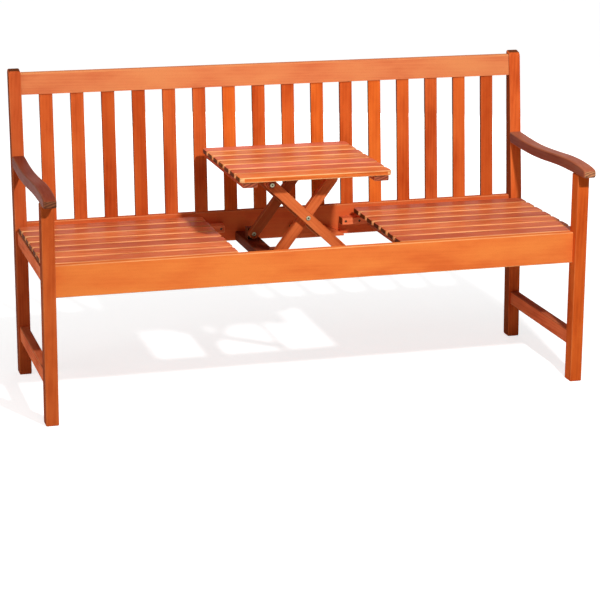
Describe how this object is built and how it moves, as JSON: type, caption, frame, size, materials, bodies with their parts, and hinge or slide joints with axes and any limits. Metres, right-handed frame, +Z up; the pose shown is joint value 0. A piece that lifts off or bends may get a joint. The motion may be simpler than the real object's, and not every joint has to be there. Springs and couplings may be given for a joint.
{
  "type": "garden bench with folding centre table",
  "caption": "Slatted hardwood garden bench with armrests; the middle of its seat lifts on folding scissor legs into a small table and lies flush when lowered.",
  "frame": {"origin": "on the floor under the middle of the bench's width and depth", "axes": "+X along the bench to the sitter's left, +Y to the back, +Z up"},
  "size_m": [1.5, 0.5892, 0.852],
  "materials": {
    "oiled_hardwood": "oiled reddish hardwood, satin, straight grain",
    "zinc_plated_steel": "zinc plated, slightly yellow"
  },
  "bodies": {
    "frame": {"front_leg_left": "oiled_hardwood", "front_leg_right": "oiled_hardwood", "rear_post_left": "oiled_hardwood", "rear_post_right": "oiled_hardwood", "armrest_left": "oiled_hardwood", "armrest_right": "oiled_hardwood", "side_rail_left": "oiled_hardwood", "side_rail_right": "oiled_hardwood", "stretcher_left": "oiled_hardwood", "stretcher_right": "oiled_hardwood", "apron": "oiled_hardwood", "rear_seat_rail": "oiled_hardwood", "top_rail": "oiled_hardwood", "back_slat_1": "oiled_hardwood", "back_slat_2": "oiled_hardwood", "back_slat_3": "oiled_hardwood", "back_slat_4": "oiled_hardwood", "back_slat_5": "oiled_hardwood", "back_slat_6": "oiled_hardwood", "back_slat_7": "oiled_hardwood", "back_slat_8": "oiled_hardwood", "back_slat_9": "oiled_hardwood", "back_slat_10": "oiled_hardwood", "back_slat_11": "oiled_hardwood", "back_slat_12": "oiled_hardwood", "back_slat_13": "oiled_hardwood", "back_slat_14": "oiled_hardwood", "back_slat_15": "oiled_hardwood", "back_slat_16": "oiled_hardwood", "seat_panel_left": "oiled_hardwood", "seat_panel_right": "oiled_hardwood", "pivot_rail": "oiled_hardwood", "ledge_block_front_left": "oiled_hardwood", "ledge_block_front_right": "oiled_hardwood", "ledge_block_rear_left": "oiled_hardwood", "ledge_block_rear_right": "oiled_hardwood", "runner_front": "oiled_hardwood", "runner_rear": "oiled_hardwood", "foot_bolt_front": "zinc_plated_steel", "foot_bolt_rear": "zinc_plated_steel"},
    "inner_legs": {"inner_scissor_leg_front": "oiled_hardwood", "inner_scissor_leg_rear": "oiled_hardwood"},
    "outer_legs": {"outer_scissor_leg_front": "oiled_hardwood", "outer_scissor_leg_rear": "oiled_hardwood", "sliding_rod": "zinc_plated_steel", "centre_bolt_front": "zinc_plated_steel", "centre_bolt_rear": "zinc_plated_steel"},
    "table": {"table_slat_1": "oiled_hardwood", "table_slat_2": "oiled_hardwood", "table_slat_3": "oiled_hardwood", "table_slat_4": "oiled_hardwood", "table_slat_5": "oiled_hardwood", "table_slat_6": "oiled_hardwood", "table_slat_7": "oiled_hardwood", "table_batten_left": "oiled_hardwood", "table_batten_right": "oiled_hardwood", "pivot_block_front": "oiled_hardwood", "pivot_block_rear": "oiled_hardwood", "table_pivot_bolt_front": "zinc_plated_steel", "table_pivot_bolt_rear": "zinc_plated_steel"}
  },
  "joints": [
    {"name": "inner_legs_hinge", "type": "hinge", "parent": "frame", "child": "inner_legs", "pos_m": [-0.097, 0, 0.387], "axis": [0, 1, 0], "range_deg": [0, 54.8]},
    {"name": "scissor_crossing", "type": "hinge", "parent": "inner_legs", "child": "outer_legs", "pos_m": [-0.01937, 0, 0.49002], "axis": [0, 1, 0], "range_deg": [-94.3, 0]},
    {"name": "table_hinge", "type": "hinge", "parent": "outer_legs", "child": "table", "pos_m": [-0.12382, 0, 0.58915], "axis": [0, 1, 0], "range_deg": [0, 39.5]}
  ],
  "couplings": [
    {"joint": "scissor_crossing", "follows": "inner_legs_hinge", "ratio": -1.7208},
    {"joint": "table_hinge", "follows": "inner_legs_hinge", "ratio": 0.7208}
  ]
}
